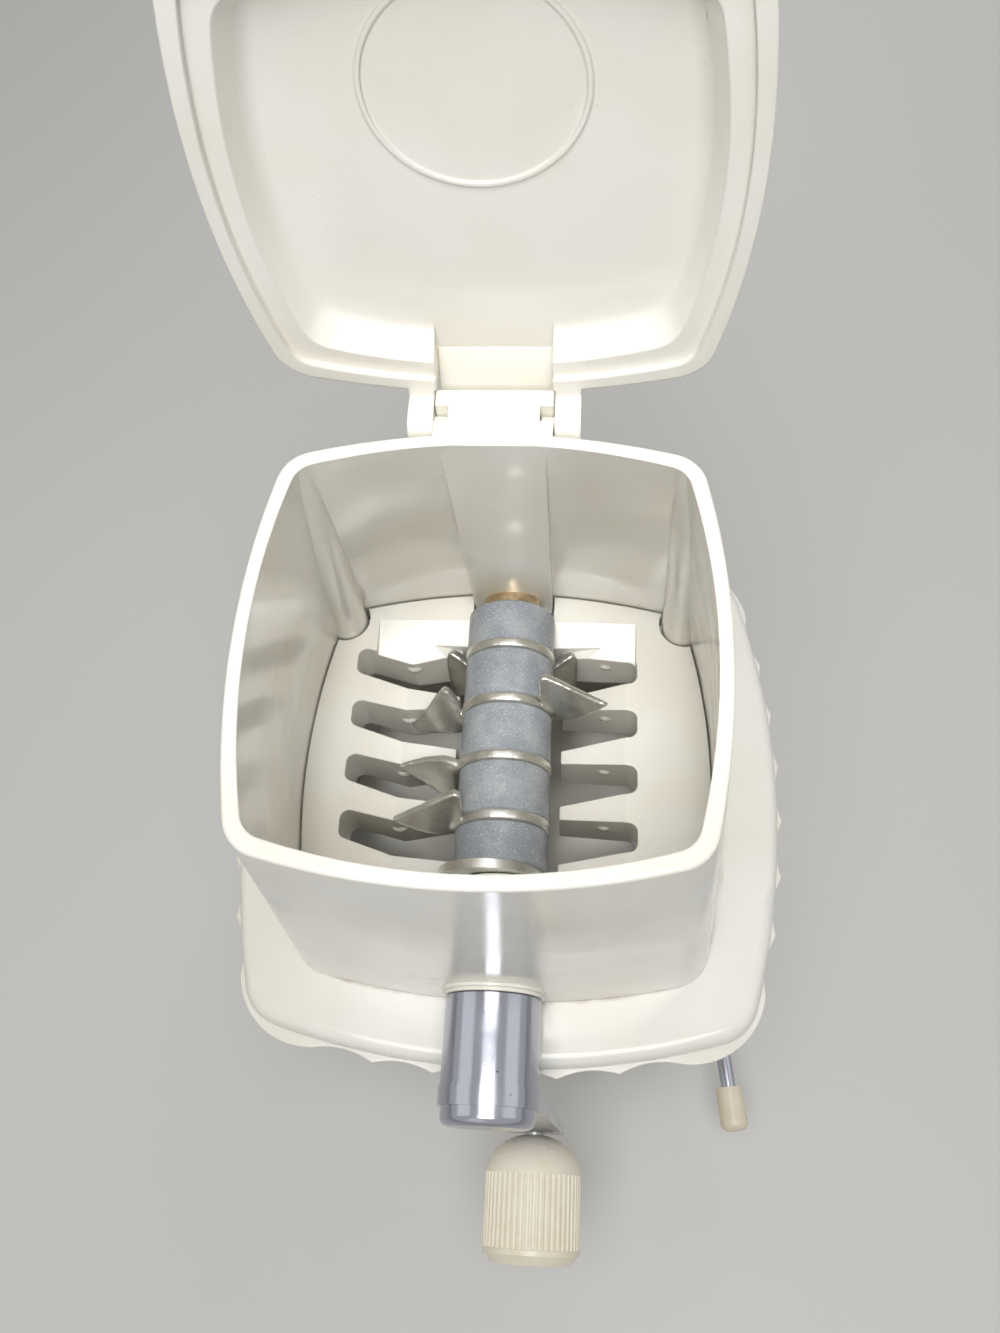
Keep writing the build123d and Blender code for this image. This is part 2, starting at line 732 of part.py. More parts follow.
with BuildPart() as comb_grate:
    with BuildSketch(Plane.XZ):
        for side, crease, slot_end in ((1, crease_right, slot_right_end), (-1, crease_left, slot_left_end)):
            with BuildLine():
                comb_profile(side, crease, slot_end)
            make_face()
    extrude(amount=comb_reach, both=True)
    # the part behind the rearmost slot is level and reaches in to the buttress
    back_block_y = blade_ys[0] + back_block_gap
    for side in (-1, 1):
        with Locations((side * back_block_inner, back_block_y, comb_bottom_z)):
            Box(
                crease_right - back_block_inner,
                comb_reach,
                comb_top_z - comb_bottom_z,
                align=(Align.MIN if side > 0 else Align.MAX, Align.MIN, Align.MIN),
            )
    # bridges under the two bearings tie the halves together
    for y_from, y_to in ((washer_front - 0.7 - comb_reach, washer_front - 0.7), (rotor_back + 0.7, comb_reach)):
        with Locations((0, (y_from + y_to) / 2, axis_z - bridge_bottom)):
            Box(
                2 * comb_half_opening + 2,
                y_to - y_from,
                bridge_bottom - bridge_top,
                align=(Align.CENTER, Align.CENTER, Align.MIN),
            )
    # sockets that take the four corner bosses
    with BuildSketch(Plane.XY.offset(boss_bottom_z - comb_ear)):
        with GridLocations(2 * boss_x, 2 * boss_y, 2, 2):
            Circle(boss_radius + comb_boss_gap + comb_ear_wall)
    extrude(amount=comb_top_z - boss_bottom_z + comb_ear)
    for near, far in ((back_block_inner - 1, scoop_right_end), (1 - back_block_inner, -scoop_left_end)):
        add(scoop_section(near, trough_z))
        add(scoop_section(far, comb_top_z - scoop_outer_drop))
        loft(ruled=True, mode=Mode.SUBTRACT)
    # slots for the claws
    for blade_y in blade_ys:
        with BuildSketch(Plane.XY.offset(finger_tip_z - 1)) as slots:
            with BuildLine():
                Polyline(
                    (comb_half_opening - 1, blade_y - slot_mouth),
                    (slot_right_end, blade_y - slot_right_front),
                    (slot_right_end, blade_y + slot_right_back),
                    (comb_half_opening - 1, blade_y + slot_mouth),
                    close=True,
                )
            make_face()
            with BuildLine():
                Polyline(
                    (1 - comb_half_opening, blade_y - slot_mouth),
                    (-crease_left, blade_y - slot_bend_front),
                    (-slot_left_end, blade_y - slot_left_front),
                    (-slot_left_end, blade_y + slot_left_back),
                    (-crease_left, blade_y + slot_bend_back),
                    (1 - comb_half_opening, blade_y + slot_mouth),
                    close=True,
                )
            make_face()
            far = [v for v in slots.vertices() if v.X > slot_right_end - 1 or v.X < -slot_left_end + 1]
            fillet(far, slot_corner)
        extrude(amount=comb_top_z - finger_tip_z + 2, mode=Mode.SUBTRACT)
        # one small bump on each face that the ice is pressed against
        inward = (bump_x - comb_half_opening + 1) / (slot_right_end - comb_half_opening + 1)
        right_face = slot_mouth + (slot_right_back - slot_mouth) * inward
        for x, face in ((bump_x, right_face), (-crease_left, slot_bend_back)):
            with Locations((x, blade_y + face + bump_radius - bump_height, comb_top_z - bump_below_top)):
                Sphere(bump_radius)
    with BuildSketch(Plane.XY.offset(boss_bottom_z)):
        with GridLocations(2 * boss_x, 2 * boss_y, 2, 2):
            Circle(boss_radius + comb_boss_gap)
    extrude(amount=comb_top_z - boss_bottom_z + 1, mode=Mode.SUBTRACT)
    with BuildSketch(Plane.XY.offset(boss_bottom_z - comb_ear)):
        with GridLocations(2 * comb_screw_x, 2 * comb_screw_y, 2, 2):
            Circle(screw_radius)
    extrude(amount=comb_ear, mode=Mode.SUBTRACT)
    with BuildSketch(Plane.XY.offset(boss_bottom_z - comb_ear)):
        with GridLocations(2 * comb_screw_x, 2 * comb_screw_y, 2, 2):
            Circle(comb_screw_head_radius + 2 * seat_gap)
    extrude(amount=finger_tip_z - boss_bottom_z, mode=Mode.SUBTRACT)
    comb_outline, comb_y = hopper_outline_at(comb_top_z, hopper_wall + comb_gap)
    with BuildSketch(Plane.XY.offset(finger_tip_z - 1)):
        with Locations((0, comb_y)):
            add(comb_outline)
    extrude(amount=comb_top_z - finger_tip_z + 2, mode=Mode.INTERSECT)
save(comb_grate.part, "comb_grate")

with BuildPart() as comb_screws:
    with BuildSketch(Plane.XY.offset(boss_bottom_z - comb_ear)):
        with GridLocations(2 * comb_screw_x, 2 * comb_screw_y, 2, 2):
            Circle(screw_radius)
    extrude(amount=comb_ear + screw_length - 1)
    with BuildSketch(Plane.XY.offset(boss_bottom_z - comb_ear - screw_head)):
        with GridLocations(2 * comb_screw_x, 2 * comb_screw_y, 2, 2):
            Circle(comb_screw_head_radius)
    extrude(amount=screw_head)
save(comb_screws.part, "comb_screws")


# ================================================================= BUSHES
def turned(y_from, y_to, radius, bore=0.0):
    """Ring or disc about the rotor's axis between two y values."""
    with BuildPart(mode=Mode.PRIVATE) as ring:
        with BuildSketch(Plane.XZ.offset(-y_from)):
            with Locations((0, axis_z)):
                Circle(radius)
                if bore:
                    Circle(bore, mode=Mode.SUBTRACT)
        extrude(amount=y_from - y_to)
    return ring.part


bush_back = rotor_back + 1 + bush_length
with BuildPart() as rear_bush:
    add(turned(bush_back, rotor_back + 1, bush_radius, rear_journal_radius + running_gap))
    chamfer(rear_bush.edges().filter_by(GeomType.CIRCLE).sort_by(Axis.Y)[:2].sort_by(SortBy.RADIUS)[-1], 0.5)
save(rear_bush.part, "rear_bush")

collar_front = -pad_front - collar_thickness
with BuildPart() as front_bush:
    add(turned(washer_front - 0.5, -pad_front, sleeve_radius, front_journal_radius + running_gap))
    add(turned(-pad_front, collar_front, collar_radius, front_journal_radius + running_gap))
save(front_bush.part, "front_bush")

# ================================================================= ROTOR
barrel_back = collar_front - seat_gap
barrel_front = -container_half_depth - crank_clearance
with BuildPart() as rotor_shaft:
    add(turned(bush_back - 0.6, rotor_back, rear_journal_radius))
    with Locations((0, (rotor_back + spacer_backs[-1] - spacer_lengths[-1]) / 2, axis_z)):
        Box(2 * square_half, rotor_back - spacer_backs[-1] + spacer_lengths[-1], 2 * square_half)
    add(turned(spacer_backs[-1] - spacer_lengths[-1], barrel_front + 2, front_journal_radius))
save(rotor_shaft.part, "rotor_shaft")

for number, (back, length) in enumerate(zip(spacer_backs, spacer_lengths), 1):
    with BuildPart() as spacer:
        add(turned(back, back - length, spacer_radius))
        chamfer(spacer.edges().filter_by(GeomType.CIRCLE), spacer_chamfer)
        with Locations((0, back - length / 2, axis_z)):
            Box(2 * (square_half + slip_gap), length, 2 * (square_half + slip_gap), mode=Mode.SUBTRACT)
    save(spacer.part, f"spacer_{number}")



def claw(blade_y, angle, turn, lean):
    """Claw that twists out of its blade: heel towards turn, leaning along Y towards lean."""
    outward = Vector(cos(radians(angle)), 0, sin(radians(angle)))
    around = Vector(-sin(radians(angle)), 0, cos(radians(angle))) * turn
    root_section = (1 - claw_root / claw_reach) * -0.15
    with BuildPart(mode=Mode.PRIVATE) as one_claw:
        for share, front, dip, heel, rise in ((root_section, *claw_sections[0][1:]), *claw_sections):
            distance = claw_root + (claw_reach - claw_root) * share
            start = Vector(-front * claw_front, dip * claw_dip * turn * lean)
            end = Vector(heel * claw_heel, -rise * claw_rise * turn * lean)
            half = blade_thickness / 2 * (1 - claw_thinning * max(share, 0))
            across = Vector(start.Y - end.Y, end.X - start.X).normalized() * half
            centre = Vector(0, blade_y, axis_z) + outward * distance
            with BuildSketch(Plane(origin=centre, x_dir=around, z_dir=outward)):
                with BuildLine():
                    Polyline(start - across, end - across, end + across, start + across, close=True)
                make_face()
        loft(ruled=True)
    return one_claw.part


for number, (blade_y, pair) in enumerate(zip(blade_ys, claws), 1):
    with BuildPart() as blade:
        add(turned(blade_y + blade_thickness / 2, blade_y - blade_thickness / 2, blade_hub_radius))
        for angle, turn, lean in pair:
            add(claw(blade_y, angle, turn, lean))
        with Locations((0, blade_y, axis_z)):
            Box(
                2 * (square_half + slip_gap), blade_thickness, 2 * (square_half + slip_gap), mode=Mode.SUBTRACT
            )
    save(blade.part, f"blade_{number}")

with BuildPart() as thrust_washer:
    with BuildSketch(Plane.XZ.offset(-washer_front)):
        with Locations((-washer_hang, axis_z)):
            Circle(washer_radius)
            Circle(washer_bore, mode=Mode.SUBTRACT)
    extrude(amount=-washer_thickness)
save(thrust_washer.part, "thrust_washer")

# ================================================================= CRANK
save(turned(barrel_back, barrel_front, barrel_bore, front_journal_radius), "crank_hub")
with BuildPart() as crank_barrel:
    add(turned(barrel_back, barrel_front, barrel_radius, barrel_bore))
save(crank_barrel.part, "crank_barrel")

ring_front = barrel_front - ring_length
arm_front = ring_front - arm_set
crank_place = Location((0, 0, axis_z), (0, -arm_lean, 0))
with BuildPart() as arm_blank:
    with BuildSketch(Plane.XZ):
        with BuildSketch(mode=Mode.PRIVATE) as both_ends:
            Circle(ring_radius)
            with Locations((0, -arm_length)):
                Circle(arm_end_radius)
        add(make_hull(both_ends.edges(), mode=Mode.PRIVATE))
    extrude(amount=-arm_front + 1)
    with BuildSketch(Plane.YZ):
        with BuildLine():
            Polyline(
                (barrel_front, ring_radius + 1),
                (ring_front, ring_radius + 1),
                (ring_front, -ring_radius + 1),
                (arm_front, -arm_length + arm_end_radius),
                (arm_front, -arm_length - arm_end_radius - 1),
                (arm_front + arm_thickness, -arm_length - arm_end_radius - 1),
                (arm_front + arm_thickness, -arm_length + arm_end_radius),
                (barrel_front, -ring_radius + 1),
                close=True,
            )
        make_face()
    extrude(amount=ring_radius + 1, both=True, mode=Mode.INTERSECT)
    with Locations(Location((0, arm_front, -arm_length), (90, 0, 0))):
        Cylinder(spindle_radius, 20, mode=Mode.SUBTRACT)
save(arm_blank.part.moved(crank_place), "crank_arm")

with BuildPart() as crank_cap:
    add(turned(ring_front, ring_front - cap_length, cap_radius))
    fillet(crank_cap.edges().filter_by(GeomType.CIRCLE).sort_by(Axis.Y)[0], cap_round)
save(crank_cap.part, "crank_cap")

knob_back = arm_front - seat_gap
knob_front = knob_back - knob_length
head_front = knob_front + plug_length + 3.2


def revolved_on_knob_axis(points):
    """Solid of revolution from (radius, y) points, about the knob's axis in the crank's own frame."""
    with BuildPart(mode=Mode.PRIVATE) as turning:
        with BuildSketch(Plane.XY):
            with BuildLine():
                Polyline(*points, close=True)
            make_face()
        revolve(axis=Axis.Y)
    return turning.part


on_knob_axis = crank_place * Location((0, 0, -arm_length))
spindle_back = arm_front + arm_thickness
knob_spindle = revolved_on_knob_axis(
    [
        (0, spindle_back + spindle_rivet),
        (spindle_head_radius - spindle_rivet / 2, spindle_back + spindle_rivet),
        (spindle_head_radius, spindle_back),
        (spindle_radius, spindle_back),
        (spindle_radius, head_front + spindle_head),
        (spindle_head_radius, head_front + spindle_head),
        (spindle_head_radius, head_front),
        (0, head_front),
    ]
)
save(knob_spindle.moved(on_knob_axis), "knob_spindle")

with BuildPart() as knob:
    with BuildSketch(Plane.XY):
        with BuildLine():
            EllipticalCenterArc((0, knob_back - knob_dome), knob_radius, knob_dome, start_angle=0, arc_size=90)
            Polyline(
                (0, knob_back),
                (0, knob_front),
                (knob_radius - knob_end_chamfer, knob_front),
                (knob_radius, knob_front + knob_end_chamfer),
                (knob_radius, knob_back - knob_dome),
            )
        make_face()
    revolve(axis=Axis.Y)
    add(
        revolved_on_knob_axis(
            [
                (0, knob_back + 1),
                (spindle_radius + running_gap, knob_back + 1),
                (spindle_radius + running_gap, head_front + spindle_head + seat_gap),
                (spindle_head_radius + seat_gap, head_front + spindle_head + seat_gap),
                (spindle_head_radius + seat_gap, knob_front + plug_length),
                (plug_radius, knob_front + plug_length),
                (plug_radius, knob_front - 1),
                (0, knob_front - 1),
            ]
        ),
        mode=Mode.SUBTRACT,
    )
    with BuildSketch(Plane.XZ.offset(-(knob_back - knob_dome))):
        with PolarLocations(knob_radius + 0.25, knob_ribs):
            Circle(knob_rib_depth + 0.2)
    extrude(amount=knob_length - knob_dome - knob_end_chamfer - 1.4, mode=Mode.SUBTRACT)
save(knob.part.moved(on_knob_axis), "knob")

plug = revolved_on_knob_axis(
    [(0, knob_front + plug_length), (plug_radius, knob_front + plug_length), (plug_radius, knob_front), (0, knob_front)]
)
save(plug.moved(on_knob_axis), "knob_end_plug")

# ================================================================= LID
# Drawn in its own frame: x to the left, y from the hinge to the free edge, z out of the lid's top.
lip_w = hinge_below_rim + seat_gap
flange_w = lip_w + lid_flange
panel_w = lip_w + lid_depth
crown_w = flange_w + lid_crown
lid_middle = hinge_behind_rim + rim_half_depth


def lid_outline(inset=0.0, least_corner=3.0):
    with BuildSketch(mode=Mode.PRIVATE) as outline:
        with Locations((0, lid_middle)):
            add(
                bowed_outline(
                    rim_half_width + lid_overhang - inset,
                    rim_half_depth + lid_overhang - inset,
                    rim_bow_side,
                    rim_bow_end,
                    max(rim_corner + lid_overhang - inset, least_corner),
                )
            )
    return outline.sketch


# hollow under the panel, with soft corners, and the channel that clears the hinge tongue
with BuildPart() as lid_hollow:
    with BuildSketch(Plane.XY.offset(lip_w + lid_step)):
        add(lid_outline(lid_lip + lid_groove, lid_hollow_corner))
    with BuildSketch(Plane.XY.offset(panel_w)):
        add(lid_outline(lid_lip + lid_groove + lid_slope, lid_hollow_corner))
    loft(ruled=True)
    fillet(lid_hollow.faces().sort_by(Axis.Z)[-1].edges(), lid_hollow_round)

with BuildPart() as lid:
    with BuildSketch(Plane.XY.offset(lip_w)):
        add(lid_outline())
    extrude(amount=lid_flange)
    fillet(lid.faces().sort_by(Axis.Z)[-1].edges(), lid_flange_round)
    with BuildSketch(Plane.XY.offset(flange_w - 0.5)):
        add(lid_outline(lid_crown_inset))
    extrude(amount=lid_crown + 0.5, taper=8)
    fillet(lid.faces().sort_by(Axis.Z)[-1].edges(), lid_crown_round)
    # hump over the channel
    with BuildSketch(Plane.XY.offset(flange_w - lid_flange_round)):
        add(lid_outline())
        with Locations((0, lid_middle - rim_half_depth)):
            Rectangle(2 * (lid_channel_half + lid_channel_wall), 4 * lid_crown_inset, mode=Mode.INTERSECT)
    extrude(amount=lid_crown + lid_flange_round)
    # underside: lip, shallow step, sloping side, panel
    with BuildSketch(Plane.XY.offset(lip_w)):
        add(lid_outline(lid_lip))
    extrude(amount=lid_step, mode=Mode.SUBTRACT)
    add(lid_hollow.part, mode=Mode.SUBTRACT)
    with BuildSketch(Plane.XY.offset(panel_w - lid_ring_height)):
        with Locations((0, lid_ring_from_hinge)):
            Circle(lid_ring_radius + lid_ring_width / 2)
            Circle(lid_ring_radius - lid_ring_width / 2, mode=Mode.SUBTRACT)
    extrude(amount=lid_ring_height + 0.2)
    # channel that clears the hinge tongue, open at the hinge
    with Locations((0, 0, lip_w)):
        Box(
            2 * lid_channel_half,
            hinge_behind_rim + lid_lip + lid_groove + lid_slope + lid_hollow_round,
            panel_w - lip_w,
            align=(Align.CENTER, Align.MIN, Align.MIN),
            mode=Mode.SUBTRACT,
        )
    # hinge ears with moulded stub pins
    for side in (-1, 1):
        middle_x = side * (ear_inner + ear_outer) / 2
        with BuildSketch(Plane.YZ.offset(middle_x)):
            Circle(ear_radius)
            with Locations((0, 0)):
                Rectangle(ear_radius, flange_w, align=(Align.MIN, Align.MIN))
            with Locations((0, lip_w)):
                Rectangle(9, lid_flange, align=(Align.MIN, Align.MIN))
        extrude(amount=(ear_outer - ear_inner) / 2, both=True)
        with BuildSketch(Plane.YZ.offset(side * (ear_inner + 1))):
            Circle(pin_radius)
        extrude(amount=-side * (pin_stub + 1))
lid_plane = Plane(
    origin=(0, hinge_y, hinge_z),
    x_dir=(-1, 0, 0),
    z_dir=(0, sin(radians(lid_open_angle)), cos(radians(lid_open_angle))),
)
save(lid.part.moved(lid_plane.location), "lid")
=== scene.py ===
"""Hand cranked ice crusher: lid open, seen from above, on a pale floor."""

import math

import bpy
from mathutils import Matrix, Vector


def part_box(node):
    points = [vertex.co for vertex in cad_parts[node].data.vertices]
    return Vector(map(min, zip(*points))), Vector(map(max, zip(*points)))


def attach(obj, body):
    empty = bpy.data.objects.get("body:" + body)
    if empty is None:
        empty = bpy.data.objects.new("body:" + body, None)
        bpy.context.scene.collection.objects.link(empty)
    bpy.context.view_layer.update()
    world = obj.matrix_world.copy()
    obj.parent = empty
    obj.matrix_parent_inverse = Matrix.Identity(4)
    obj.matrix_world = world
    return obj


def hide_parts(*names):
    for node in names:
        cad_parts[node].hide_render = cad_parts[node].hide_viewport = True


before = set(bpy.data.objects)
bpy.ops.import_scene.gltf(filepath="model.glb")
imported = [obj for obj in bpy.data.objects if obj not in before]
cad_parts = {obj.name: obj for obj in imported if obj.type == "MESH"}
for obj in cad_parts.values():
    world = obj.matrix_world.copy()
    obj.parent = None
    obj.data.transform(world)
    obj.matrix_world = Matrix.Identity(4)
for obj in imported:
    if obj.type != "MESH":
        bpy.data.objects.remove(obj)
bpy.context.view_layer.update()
MM = 0.001

# levels that the pieces and patterns refer to: the rotor's axis, and the shoulder under the hopper
axis_z = 140.5 * MM
tub_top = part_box("ice_container")[1][2]
shoulder_top = tub_top + 4.6 * MM

# ---------------------------------------------------------------- materials
# foot of the hopper's wall, in mm: half the reach at the middle of a side, how far the side falls
# back towards the corner, and half the side's length
wall_side = (62.7, 7.3, 55.7)
wall_end = (63.0, 7.3, 55.4)
wall_corner = 14 * MM
# middle of the brown stain on the hopper's wall
stain_place = (-17 * MM, -62 * MM, 150 * MM)
# a seed slides a pattern this much along X, Y and Z
seed_slide = (1, 1.7, -1)


def srgb(red, green, blue):
    """Linear colour from 0..255 screen values."""
    shares = (red / 255, green / 255, blue / 255)
    return tuple(s / 12.92 if s <= 0.04045 else ((s + 0.055) / 1.055) ** 2.4 for s in shares)


class Finish:
    """A material built from nodes on Object coordinates."""

    def __init__(self, name, roughness=0.4, metallic=0.0):
        self.material = bpy.data.materials.new(name)
        self.material.use_nodes = True
        self.tree = self.material.node_tree
        self.shader = self.tree.nodes["Principled BSDF"]
        self.shader.inputs["Roughness"].default_value = roughness
        self.shader.inputs["Metallic"].default_value = metallic
        self.place = self.tree.nodes.new("ShaderNodeTexCoord").outputs["Object"]
        self.bumps = None

    def link(self, source, target):
        self.tree.links.new(source, target)

    def put(self, socket, value):
        if isinstance(value, bpy.types.NodeSocket):
            self.link(value, socket)
        else:
            socket.default_value = value

    def node(self, kind, **inputs):
        node = self.tree.nodes.new(kind)
        for key, value in inputs.items():
            self.put(node.inputs[key.replace("_", " ")], value)
        return node

    def noise(self, size_mm, detail, stretch=(1, 1, 1), seed=0.0):
        """Noise with grains about size_mm across, from 0 to 1."""
        mapping = self.node("ShaderNodeMapping", Vector=self.place)
        mapping.inputs["Scale"].default_value = [s / (size_mm * MM) for s in stretch]
        mapping.inputs["Location"].default_value = [seed * s for s in seed_slide]
        noise = self.node("ShaderNodeTexNoise", Vector=mapping.outputs[0], Scale=1.0, Detail=detail)
        return noise.outputs["Fac"]

    def cells(self, size_mm, seed=0.0):
        """Distance to the nearest of scattered points about size_mm apart."""
        mapping = self.node("ShaderNodeMapping", Vector=self.place)
        mapping.inputs["Scale"].default_value = [1 / (size_mm * MM)] * 3
        mapping.inputs["Location"].default_value = [seed] * 3
        cells = self.node("ShaderNodeTexVoronoi", Vector=mapping.outputs[0], Scale=1.0)
        return cells.outputs["Distance"]

    def between(self, value, low, high, to_low=0.0, to_high=1.0):
        """Maps value from low..high to to_low..to_high, smoothly and clamped."""
        node = self.node("ShaderNodeMapRange", Value=value)
        node.interpolation_type = "SMOOTHSTEP"
        ends = {"From Min": low, "From Max": high, "To Min": to_low, "To Max": to_high}
        for key, number in ends.items():
            node.inputs[key].default_value = number
        return node.outputs["Result"]

    def maths(self, operation, a, b=0.0):
        node = self.tree.nodes.new("ShaderNodeMath")
        node.operation = operation
        self.put(node.inputs[0], a)
        self.put(node.inputs[1], b)
        return node.outputs[0]

    def times(self, first, *others):
        for other in others:
            first = self.maths("MULTIPLY", first, other)
        return first

    def axis(self, letter):
        return self.node("ShaderNodeSeparateXYZ", Vector=self.place).outputs[letter]

    def mix(self, amount, a, b):
        node = self.tree.nodes.new("ShaderNodeMix")
        node.data_type = "RGBA"
        self.put(node.inputs["Factor"], amount)
        for socket, colour in ((node.inputs[6], a), (node.inputs[7], b)):
            if isinstance(colour, tuple):
                colour = (*colour, 1.0)
            self.put(socket, colour)
        return node.outputs[2]

    def two_tone(self, patch_mm, first, second, detail=4, full=0.7):
        """Two shades that pass into each other in soft patches about patch_mm across."""
        return self.mix(self.between(self.noise(patch_mm, detail), 0.35, full), first, second)

    def colour(self, value):
        socket = self.shader.inputs["Base Color"]
        self.put(socket, (*value, 1.0) if isinstance(value, tuple) else value)

    def rubbed(self, patch_mm, detail, seed, smooth, dull, low=0.3, high=0.7):
        """Roughness that wanders from smooth to dull in patches about patch_mm across."""
        patches = self.noise(patch_mm, detail, seed=seed)
        self.put(self.shader.inputs["Roughness"], self.between(patches, low, high, smooth, dull))

    def soft_edges(self, radius_mm):
        """Rounds how sharp moulded edges catch the light."""
        node = self.node("ShaderNodeBevel", Radius=radius_mm * MM)
        node.samples = 6
        self.bumps = node.outputs["Normal"]
        self.link(self.bumps, self.shader.inputs["Normal"])

    def grain(self, size_mm, detail, seed, depth_mm, strength, stretch=(1, 1, 1)):
        """Fine relief with grains about size_mm across, on top of the relief so far."""
        height = self.noise(size_mm, detail, stretch=stretch, seed=seed)
        node = self.node("ShaderNodeBump", Height=height, Strength=strength, Distance=depth_mm * MM)
        if self.bumps is not None:
            self.link(self.bumps, node.inputs["Normal"])
        self.bumps = node.outputs["Normal"]
        self.link(self.bumps, self.shader.inputs["Normal"])


def past_bulging_side(finish, outward, along, half, bow, half_length):
    """Distance outside a bulging side: |outward| + bow * (along / half_length)^2 - half."""
    share = finish.maths("MULTIPLY", along, 1 / (half_length * MM))
    curve = finish.times(share, share, bow * MM)
    reach = finish.maths("ADD", finish.maths("ABSOLUTE", outward), curve)
    return finish.maths("SUBTRACT", reach, half * MM)


def dirt_along_seam(finish):
    """How dirty: a thin brown line where the hopper's wall meets the shoulder, most in front."""
    x, y, z = (finish.axis(letter) for letter in "XYZ")
    squares = []
    for outward, along, wall in ((x, y, wall_side), (y, x, wall_end)):
        past = past_bulging_side(finish, outward, along, *wall)
        past = finish.maths("MAXIMUM", finish.maths("ADD", past, wall_corner))
        squares.append(finish.maths("MULTIPLY", past, past))
    from_corner = finish.maths("SQRT", finish.maths("ADD", *squares))
    outside = finish.maths("SUBTRACT", from_corner, wall_corner)
    near = finish.between(outside, 0.2 * MM, 1.0 * MM, 1.0, 0.0)
    low = finish.between(z, shoulder_top + 0.4 * MM, shoulder_top + 1.5 * MM, 1.0, 0.0)
    above = finish.between(z, shoulder_top - 0.6 * MM, shoulder_top - 0.2 * MM)
    patchy = finish.between(finish.noise(9, 4, seed=8), 0.35, 0.65, 0.05, 0.4)
    front = finish.between(y, -15 * MM, -50 * MM, 0.25, 1.0)
    return finish.times(finish.times(near, low, above), finish.times(patchy, front))


def stain(finish):
    """How stained: one ragged blot round stain_place, 2 mm full and gone by 9 mm."""
    spot = finish.node("ShaderNodeVectorMath")
    spot.operation = "DISTANCE"
    finish.link(finish.place, spot.inputs[0])
    spot.inputs[1].default_value = stain_place
    near = finish.between(spot.outputs["Value"], 2 * MM, 9 * MM, 1.0, 0.0)
    return finish.times(near, finish.between(finish.noise(6, 4, seed=2), 0.4, 0.7), 0.35)


def off_white_plastic(name, used_hopper=False):
    """Glossy off-white moulding, a little yellowed, with faint specks and scuffs."""
    finish = Finish(name)
    colour = finish.two_tone(45, srgb(240, 238, 231), srgb(234, 230, 218))
    specks = finish.between(finish.cells(2.6, seed=3), 0.10, 0.05)
    in_patches = finish.between(finish.noise(9, 2, seed=4), 0.56, 0.66)
    colour = finish.mix(finish.times(specks, in_patches, 0.22), colour, srgb(150, 138, 118))
    if used_hopper:
        colour = finish.mix(dirt_along_seam(finish), colour, srgb(150, 118, 78))
        colour = finish.mix(stain(finish), colour, srgb(196, 160, 118))
    finish.colour(colour)
    finish.rubbed(18, detail=5, seed=5, smooth=0.10, dull=0.24, high=0.75)
    finish.soft_edges(0.7)
    finish.grain(60, detail=1, seed=6, depth_mm=0.12, strength=0.5)
    finish.grain(0.9, detail=2, seed=7, depth_mm=0.004, strength=0.6)
    finish.shader.inputs["Specular IOR Level"].default_value = 0.55
    return finish.material


def cream_plastic(name, fresh, worn):
    """Yellowed cream moulding, duller and browner in patches, with fine scratches."""
    finish = Finish(name)
    colour = finish.two_tone(14, fresh, worn, full=0.68)
    grime = finish.between(finish.noise(1.6, 3, seed=2), 0.6, 0.75)
    in_patches = finish.between(finish.noise(9, 2), 0.5, 0.62)
    finish.colour(finish.mix(finish.times(grime, in_patches, 0.12), colour, srgb(176, 150, 110)))
    finish.rubbed(6, detail=4, seed=5, smooth=0.24, dull=0.4)
    finish.grain(1.1, detail=3, seed=7, depth_mm=0.002, strength=0.4)
    return finish.material


def speckled_grey_plastic(name):
    """Blue-grey moulded spacer, pale frosty specks and rubbed patches."""
    finish = Finish(name)
    colour = finish.two_tone(7, srgb(136, 141, 148), srgb(156, 159, 163))
    frost = finish.between(finish.noise(0.45, 2, seed=2), 0.58, 0.7)
    colour = finish.mix(finish.times(frost, 0.6), colour, srgb(205, 209, 212))
    pits = finish.between(finish.noise(0.5, 2, seed=6), 0.62, 0.72)
    finish.colour(finish.mix(finish.times(pits, 0.6), colour, srgb(84, 90, 100)))
    finish.rubbed(3, detail=3, seed=4, smooth=0.32, dull=0.55)
    finish.grain(0.9, detail=3, seed=3, depth_mm=0.03, strength=0.7)
    return finish.material


def stamped_steel(name):
    """Satin stamped steel with drawn streaks and dull spots."""
    finish = Finish(name, metallic=1.0)
    colour = finish.two_tone(5, srgb(222, 221, 217), srgb(204, 202, 196))
    dull = finish.between(finish.noise(1.2, 3, seed=5), 0.62, 0.72)
    finish.colour(finish.mix(finish.times(dull, 0.25), colour, srgb(140, 134, 124)))
    finish.rubbed(2.5, detail=4, seed=1, smooth=0.32, dull=0.46)
    finish.grain(0.6, detail=3, seed=2, depth_mm=0.005, strength=0.5, stretch=(1, 4, 1))
    return finish.material


def bright_chrome(name):
    """Chrome plating with faint smears and a few pinprick pits."""
    finish = Finish(name, metallic=1.0)
    pits = finish.between(finish.cells(1.8), 0.14, 0.08)
    in_patches = finish.between(finish.noise(8, 2, seed=3), 0.58, 0.64)
    pits = finish.times(pits, in_patches)
    finish.colour(finish.mix(pits, srgb(180, 182, 193), srgb(120, 104, 84)))
    finish.rubbed(9, detail=4, seed=2, smooth=0.14, dull=0.24, low=0.35, high=0.8)
    finish.grain(0.4, detail=2, seed=9, depth_mm=0.01, strength=0.7)
    finish.grain(25, detail=1, seed=6, depth_mm=0.05, strength=0.4)
    return finish.material


def sintered_bronze(name):
    finish = Finish(name, metallic=1.0)
    finish.colour(finish.two_tone(3, srgb(222, 204, 172), srgb(196, 172, 134)))
    finish.rubbed(2, detail=3, seed=1, smooth=0.34, dull=0.5)
    finish.grain(0.5, detail=2, seed=2, depth_mm=0.02, strength=0.6)
    return finish.material


